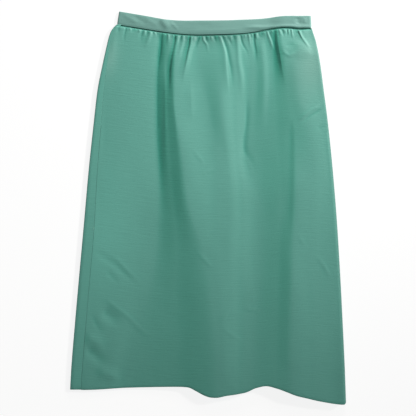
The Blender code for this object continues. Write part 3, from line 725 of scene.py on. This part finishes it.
def band_path():
    """The band's outer face seen along the cloth, from its tucked end round to its lapped end."""
    left, right = WAISTLINE[0].across, WAISTLINE[-1].across
    tucked = BAND_SOLID + SEAM_GAP
    thin, thick = float(band_face(left)), float(band_face(right))
    lap_end = right - LAP_LENGTH
    jog_start = lap_end - SEAM_GAP - JOG_LENGTH
    path = band_run(right - TUCK_CLEARANCE, lap_end, lambda across: tucked)
    path += band_run(lap_end - BAND_SPACING, jog_start,
                     lambda across: tucked * ease((across - jog_start) / (lap_end - jog_start)))
    path += band_run(jog_start - BAND_SPACING, left + 0.5 * thin, lambda across: 0.0)
    path += band_bend(left, 1.0, thin)
    path += band_run(left + 0.5 * thin, right - 0.5 * thick, band_face)
    path += band_bend(right, -1.0, thick)
    path += band_run(right - 0.5 * thick, lap_end, lambda across: 0.0)
    return np.array(path)


def band_section():
    """The band cut across, once round: share of its height, distance past that, depth below its face."""
    ring = []
    radius = 0.5 * BAND
    for start, end, way, below in ((0.0, 1.0, 1.0, 0.0), (1.0, 0.0, -1.0, BAND)):
        ring += [(share, 0.0, below) for share in np.linspace(start, end, BAND_FACE_POINTS)]
        for sine, cosine in half_turn(BAND_EDGE_POINTS)[:-1]:
            ring.append((end, way * radius * sine, radius * (1.0 - way * cosine)))
    return ring


# The same kind of table, with the distance above the band's lower edge for drop.
BAND_CREASES = [Fold(*row) for row in (
    # the roll where the gathered allowances lie inside the band
    (1.3, 3, 4.6, 1, 0.2, 0.1, ((60, 10), (84, 8.2), (97, 5.4), (112, 3.4), (126, 2.2), (138, 1.9),
     (149, 2.2), (166, 2.8), (187, 3.6))),
    (0.35, 3.4, 4, 1, 0.2, 0.3, ((-45, 6), (-14, 6.6), (14, 6.8), (40, 7.4), (76, 8.4))),
    # soft diagonal wrinkles
    (1.5, 9, 6, 1, 0.3, 0.3, ((-86, 23), (-78, 15), (-70, 5))),
    (0.45, 2.6, 2.6, 1, 0.3, 0.3, ((-68, 20), (-61, 13), (-53, 6.5))),
    (0.4, 4, 4, 1, 0.3, 0.3, ((-156, 20), (-138, 13), (-124, 8))),
    (-0.4, 4, 4, 1, 0.3, 0.3, ((-138, 21), (-122, 14), (-108, 8))),
    (0.35, 4, 4, 1, 0.3, 0.3, ((-114, 20), (-100, 13), (-88, 9))),
    (-0.3, 3.4, 3.4, 1, 0.4, 0.4, ((-24, 15), (10, 17))),
    # the dent near the wearer's left end
    (-0.9, 5, 5, 1, 0.3, 0.3, ((161, 20), (162, 12), (161, 7))),
    (0.5, 3, 3, 1, 0.3, 0.3, ((173, 20), (174, 12), (173, 8))),
)]
BAND_SWELLS = (  # how far the band's face stands up along its run, as (across, height)
    (-0.1635, 0.0), (-0.1100, 0.0004), (-0.0450, 0.0), (0.0250, 0.0013), (0.1560, 0.0001), (0.1860, 0.0),
)
BAND_CROWN = 0.0005  # how far the band's face swells between its edges
CROWN_POWER = 0.6  # under 1, the swelling is fuller near the edges
EDGE_SINK = 0.0002  # how far its lower edge is drawn in by the seam
SINK_SHARE = 0.10  # and over how much of its height


def waist_slope(across):
    """Rise of the waist seam for each metre across."""
    before = max(across - BAND_SPACING, WAISTLINE[0].across)
    after = min(across + BAND_SPACING, WAISTLINE[-1].across)
    return float(waist_along(after) - waist_along(before)) / (after - before)


def band_grid():
    """Rings of points along the band, one for each station."""
    path = band_path()
    tangents = np.gradient(path, axis=0)
    tangents /= np.linalg.norm(tangents, axis=1)[:, None]
    section = band_section()
    rings = []
    for (across, height), (tangent_x, tangent_z) in zip(path, tangents):
        normal_x, normal_z = -tangent_z, tangent_x
        slope = waist_slope(across)
        along = float(waist_along(across))
        rise = float(band_height(across)) / math.hypot(1.0, slope)
        ring = []
        for share, beyond, below in section:
            up = 0.5 * BAND + share * (rise - BAND) + beyond
            out = -below
            if below == 0.0:
                out += BAND_CROWN * math.sin(math.pi * share) ** CROWN_POWER * max(normal_z, 0.0)
                out -= EDGE_SINK * (1.0 - float(ease(share / SINK_SHARE)))
            ring.append((across - slope * up + normal_x * out, along + up, height + normal_z * out))
        ring = np.array(ring)
        if normal_z > 0.5:
            face = ring[:BAND_FACE_POINTS]
            face[:, 2] += fold_relief(BAND_CREASES, face[:, 0], face[:, 1] - along)
        rings.append(ring)
    return np.array(rings)


# -------- meshes

def lengths_along(grid, axis):
    """Distance run along one way of a grid, from its start."""
    steps = np.linalg.norm(np.diff(grid, axis=axis), axis=2)
    zero = np.zeros((1, grid.shape[1]) if axis == 0 else (grid.shape[0], 1))
    return np.concatenate([zero, np.cumsum(steps, axis=axis)], axis=axis)


def in_scene(name, data):
    """A new object with this data, in the scene."""
    made = bpy.data.objects.new(name, data)
    bpy.context.scene.collection.objects.link(made)
    return made


def mesh_piece(name, points, faces, maps):
    """A smooth mesh object with its UV maps, given by name. Unused points are left out."""
    points = np.asarray(points).reshape(-1, 3)
    used = np.unique(np.concatenate([np.array(face) for face in faces]))
    renumbered = np.zeros(len(points), dtype=int)
    renumbered[used] = np.arange(len(used))
    points = points[used]
    faces = [tuple(int(renumbered[corner]) for corner in face) for face in faces]
    mesh = bpy.data.meshes.new(name)
    mesh.from_pydata(points.tolist(), [], faces)
    corners = np.zeros(len(mesh.loops), dtype=np.int32)
    mesh.loops.foreach_get("vertex_index", corners)
    for map_name, places in maps.items():
        layer = mesh.uv_layers.new(name=map_name)
        places = np.asarray(places).reshape(-1, 2)[used]
        layer.uv.foreach_set("vector", places[corners].astype(np.float32).ravel())
    mesh.shade_smooth()
    return in_scene(name, mesh)


def grid_faces(rows, columns, fine_rows=None):
    """Faces of a grid. Below its fine rows, every second column is left out."""
    fine_rows = rows if fine_rows is None else fine_rows
    faces = []
    for row in range(rows - 1):
        first, below = row * columns, (row + 1) * columns
        if row < fine_rows:
            for place in range(columns - 1):
                faces.append((first + place, below + place, below + place + 1, first + place + 1))
        else:
            for place in range(0, columns - 2, 2):
                between = (first + place + 1,) if row == fine_rows else ()
                faces.append((first + place, below + place, below + place + 2, first + place + 2) + between)
    return faces


def outward(grid):
    """Unit normals of a grid's outer face."""
    down = np.gradient(grid, axis=0)
    right = np.gradient(grid, axis=1)
    normals = np.cross(down, right)
    return normals / np.linalg.norm(normals, axis=2)[:, :, None]


def turn_up_hem(grid):
    """The grid with its hem turned inside: round the edge, then back up by the hem allowance."""
    normals = outward(grid)
    radius = CLOTH + 0.5 * AIR
    rows = [grid[i] for i in range(len(grid))]
    last, inward = grid[-1], -normals[-1]
    for sine, cosine in half_turn(HEM_STEPS):
        edge = last + inward * radius * (1.0 - cosine)
        edge[:, 1] -= radius * sine
        rows.append(edge)
    back = len(grid) - 2
    while grid[back, 0, 1] - grid[-1, 0, 1] < HEM_ALLOWANCE:
        rows.append(grid[back] - normals[back] * 2.0 * radius)
        back -= 1
    return np.array(rows)


LEVEL_DEPTH = 0.5  # what the map of hollows says on level cloth, so that it stays in 0 to 1
DEPTH_SCALE = 0.25  # and what each depth adds to that


def panel(name, grid, shades=None, fine_rows=None):
    """A panel with its outer face on the grid and the cloth's thickness inside it."""
    across_run = lengths_along(grid, 1)
    along_run = grid[:1, :, 1] - grid[:, :, 1]
    full = turn_up_hem(grid)
    extra = len(full) - len(grid)
    turned = along_run[-1:] + CLOTH * np.arange(1, extra + 1)[:, None]
    threads = np.stack([
        np.vstack([across_run, np.repeat(across_run[-1:], extra, axis=0)]),
        np.vstack([along_run, turned]),
    ], axis=2)
    maps = {"threads": threads}
    if shades is not None:
        shades = np.pad(shades, ((0, extra), (0, 0), (0, 0)), "edge")
        # maps of the front's painted shade
        hollow = np.clip(LEVEL_DEPTH + DEPTH_SCALE * shades[:, :, 0], 0.0, 1.0)
        maps["hollows"] = np.stack([hollow, shades[:, :, 1]], axis=2)
        maps["turns"] = np.stack([shades[:, :, 2], np.zeros(hollow.shape)], axis=2)
    piece = mesh_piece(name, full, grid_faces(*full.shape[:2], fine_rows), maps)
    solidify = piece.modifiers.new("cloth", "SOLIDIFY")
    solidify.thickness = CLOTH
    solidify.offset = -1.0
    solidify.use_rim = True
    solidify.use_quality_normals = True
    return piece


def band_piece(name):
    """The waistband as one closed tube of flat section."""
    rings = band_grid()
    count, around = rings.shape[:2]
    faces = []
    for row in range(count - 1):
        for place in range(around):
            a, b = row * around + place, row * around + (place + 1) % around
            faces.append((a, a + around, b + around, b))
    faces.append(tuple(range(around)))
    faces.append(tuple(reversed(range((count - 1) * around, count * around))))
    run = lengths_along(rings, 0)[:, :1] * np.ones((1, around))
    return mesh_piece(name, rings, faces, {"threads": np.stack([run, rings[:, :, 1]], axis=2)})


# -------- cloth shader

class Value:
    """A number at a socket. Each operator on it adds a Math node."""

    def __init__(self, shader, socket):
        self.shader = shader
        self.socket = socket

    def math(self, operation, *others):
        return self.shader.node("ShaderNodeMath", {"operation": operation}, (self, *others))

    def __add__(self, other):
        return self.math("ADD", other)

    def __sub__(self, other):
        return self.math("SUBTRACT", other)

    def __mul__(self, other):
        return self.math("MULTIPLY", other)

    def __rsub__(self, other):
        return self.shader.node("ShaderNodeMath", {"operation": "SUBTRACT"}, (other, self))

    __radd__ = __add__
    __rmul__ = __mul__

    def wave(self, pitch):
        """A sine of this length, from -1 to 1."""
        return (self * (2.0 * math.pi / pitch)).math("SINE")


class Shader:
    """A material's node tree, built node by node."""

    def __init__(self, name):
        self.material = bpy.data.materials.new(name)
        self.material.use_nodes = True
        self.tree = self.material.node_tree
        self.surface = self.tree.nodes["Principled BSDF"]

    def feed(self, socket, value):
        if isinstance(value, Value):
            self.tree.links.new(value.socket, socket)
        else:
            socket.default_value = value

    def node(self, kind, settings=(), inputs=(), output=0):
        """A node with its settings made first, then its sockets by order or by name."""
        made = self.tree.nodes.new(kind)
        for name, value in dict(settings).items():
            setattr(made, name, value)
        pairs = inputs.items() if isinstance(inputs, dict) else enumerate(inputs)
        for key, value in pairs:
            self.feed(made.inputs[key], value)
        return Value(self, made.outputs[output])

    def finish(self, **sockets):
        for name, value in sockets.items():
            self.feed(self.surface.inputs[name.replace("_", " ")], value)
        return self.material


RIB_PITCH = 0.0009
WARP_PITCH = 0.0006
RIB_WANDER = 0.0012  # how far the ribs stray from straight
THREAD_HEIGHT = 0.00006
SLUB_HEIGHT = 0.00022
DARK_TONE = 0.7  # the cloth's darkest tone, as a share of its colour
# painted shade: the front's colour deepens in its hollows, in shade and where it turns from the window
HOLLOW_SHADE_GAIN = 2.4  # how quickly the colour deepens as the map of hollows rises past level
SHADE_COLOUR = (0.0, 0.030, 0.022)
SHADE_GAIN = 0.25
# painted shade where the front's cloth turns away from the window
TURNED_SHADE_COLOUR = (0.030, 0.405, 0.270)
TURNED_SHADE_GAIN = 0.5

# The front's patches of painted light and painted sheen, along its threads from the side seam and the
# waist.
LightPatch = namedtuple("LightPatch", "across along reach_across reach_along colour strength")
PAINTED_LIGHT_PATCHES = (
    LightPatch(0.372, 0.066, 0.034, 0.060, (0.158, 0.340, 0.287), 0.65),
    LightPatch(0.004, 0.060, 0.014, 0.035, (0.230, 0.490, 0.420), 0.50),
    LightPatch(0.022, 0.375, 0.046, 0.130, (0.150, 0.500, 0.410), 0.50),
)


def cloth_material(name, colour, hollow_shade_colour=None):
    """Ribbed plain weave: fine crosswise ribs, slubs along them, a soft sheen.

    The gathered front has painted shade: it is deeper in colour in its hollows, in the band's shade and
    where it is turned away from the window, and it has patches of painted light and painted sheen.
    """
    shader = Shader(name)

    def map_part(map_name, part):
        """One of the two numbers that a UV map holds at each point."""
        place = shader.node("ShaderNodeUVMap", {"uv_map": map_name})
        return shader.node("ShaderNodeSeparateXYZ", (), (place,), part)

    def tinted(tint, other, share):
        """A share of another colour mixed into the tint."""
        return shader.node("ShaderNodeMix", {"data_type": "RGBA"},
                           {"Factor": share, "A": tint, "B": (*other, 1.0)}, 2)

    def cloud(across_scale, along_scale, detail):
        spot = shader.node("ShaderNodeCombineXYZ", (), (across * across_scale, along * along_scale, 0.0))
        return shader.node("ShaderNodeTexNoise", {"noise_dimensions": "2D"},
                           {"Vector": spot, "Scale": 1.0, "Detail": detail}) - 0.5

    across, along = map_part("threads", 0), map_part("threads", 1)
    slub = cloud(28.0, 420.0, 2.0)
    patch = cloud(14.0, 11.0, 3.0)
    wander = cloud(9.0, 60.0, 1.0)
    rib = (along + wander * RIB_WANDER).wave(RIB_PITCH)
    warp = across.wave(WARP_PITCH)
    thread = rib * (0.8 + 0.2 * warp)
    tone = 1.0 + slub * 0.10 + patch * 0.10 + thread * 0.03
    tint = tinted((*(c * DARK_TONE for c in colour), 1.0), colour, tone * 0.5)
    if hollow_shade_colour:
        # painted shade in hollows, in the band's and gathers' shade and where the cloth turns from the
        # window
        depth = map_part("hollows", 0) * HOLLOW_SHADE_GAIN - LEVEL_DEPTH * HOLLOW_SHADE_GAIN
        tint = tinted(tint, hollow_shade_colour, depth)
        tint = tinted(tint, SHADE_COLOUR, map_part("hollows", 1) * SHADE_GAIN)
        tint = tinted(tint, TURNED_SHADE_COLOUR, map_part("turns", 0) * TURNED_SHADE_GAIN)
        # patches of painted light and painted sheen
        for spot in PAINTED_LIGHT_PATCHES:
            off_across = (across - spot.across) * (1.0 / spot.reach_across)
            off_along = (along - spot.along) * (1.0 / spot.reach_along)
            painted_light = (0.0 - (off_across * off_across + off_along * off_along)).math("EXPONENT")
            tint = tinted(tint, spot.colour, painted_light * spot.strength)
    fine = shader.node("ShaderNodeBump", (), {"Strength": 0.6, "Distance": THREAD_HEIGHT, "Height": thread})
    bump = shader.node("ShaderNodeBump", (),
                       {"Strength": 0.8, "Distance": SLUB_HEIGHT, "Height": slub, "Normal": fine})
    rough = 0.56 + slub * 0.10
    return shader.finish(
        Base_Color=tint, Roughness=rough, Normal=bump,
        Sheen_Weight=0.06, Sheen_Roughness=0.45, Specular_IOR_Level=0.55, IOR=1.5,
    )


# -------- stage

CAMERA_HEIGHT = 3.0
FRAME_WIDTH = 0.7488  # width of the table that the camera sees
SENSOR = 36.0
FLOOR_HALF = 4.0
FLOOR_LEVEL = -0.0004
FLOOR_GLOW = 0.86  # keeps the pale floor white round the skirt
FILL_LIGHT = 0.150
FILL_COLOUR = (0.93, 0.98, 1.0, 1.0)
Lamp = namedtuple("Lamp", "name kind place aim size strength")
LAMPS = (
    Lamp("window", "SPOT", (6.69, 3.52, 3.98), (0.415, 0.49, 0.0), 0.50, 3950.0),
    Lamp("ceiling", "AREA", (0.40, 1.20, 0.60), (0.0, 0.0, 0.0), 0.40, 8.8),
)
LAMP_COLOUR = (1.0, 0.985, 0.96)
BEAM_ANGLE = 0.239  # of the window's beam, whose soft edge falls across the hem
BEAM_SOFTNESS = 1.0


def set_stage():
    """A pale floor, soft light from the upper right, and a camera straight above."""
    ways = ((-1, -1), (1, -1), (1, 1), (-1, 1))
    corners = [(x * FLOOR_HALF, y * FLOOR_HALF, FLOOR_LEVEL) for x, y in ways]
    floor = mesh_piece("floor", corners, [(0, 1, 2, 3)], {})
    floor.data.materials.append(Shader("pale_floor").finish(
        Base_Color=(0.16, 0.16, 0.16, 1.0), Roughness=0.9,
        Emission_Color=(1.0, 1.0, 1.0, 1.0), Emission_Strength=FLOOR_GLOW,
    ))

    world = bpy.data.worlds.new("studio")
    world.use_nodes = True
    background = world.node_tree.nodes["Background"]
    background.inputs["Color"].default_value = FILL_COLOUR
    background.inputs["Strength"].default_value = FILL_LIGHT
    bpy.context.scene.world = world
    for lamp in LAMPS:
        light = bpy.data.lights.new(lamp.name, lamp.kind)
        if lamp.kind == "SPOT":
            light.shadow_soft_size = lamp.size
            light.spot_size = BEAM_ANGLE
            light.spot_blend = BEAM_SOFTNESS
        else:
            light.shape = "SQUARE"
            light.size = lamp.size
        light.energy = lamp.strength
        light.color = LAMP_COLOUR
        fitting = in_scene(lamp.name, light)
        fitting.location = lamp.place
        fitting.rotation_euler = (Vector(lamp.aim) - fitting.location).to_track_quat("-Z", "Y").to_euler()

    camera = in_scene("camera", bpy.data.cameras.new("camera"))
    camera.data.sensor_width = SENSOR
    camera.data.lens = CAMERA_HEIGHT / FRAME_WIDTH * SENSOR
    camera.data.clip_end = 20.0
    camera.location = (0.0, 0.0, CAMERA_HEIGHT)
    bpy.context.scene.camera = camera
    bpy.context.scene.view_settings.view_transform = "Standard"


# -------- the skirt

fine_rows = int(np.searchsorted(front_shares() * FRONT_ZONES[-1].end, FINE_DROP))
front = panel("front_panel_cloth", *front_grid(), fine_rows)
back = panel("back_panel_cloth", back_grid())
band = band_piece("waistband_cloth")

for piece, node, slot, *colours in (
    # the front's second colour is its painted shade in hollows
    (front, "front_panel", "front_cloth", (0.128, 0.430, 0.352), (0.009, 0.245, 0.180)),
    # painted light: the back's colour is the front's made lighter, which brightens the strip beside the
    # visible side seam
    (back, "back_panel", "back_cloth", (0.136, 0.459, 0.375)),
    (band, "waistband", "band_cloth", (0.184, 0.402, 0.352)),
):
    piece.data.materials.append(cloth_material(slot, *colours))
    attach(piece, "root")
    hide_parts(node)

set_stage()
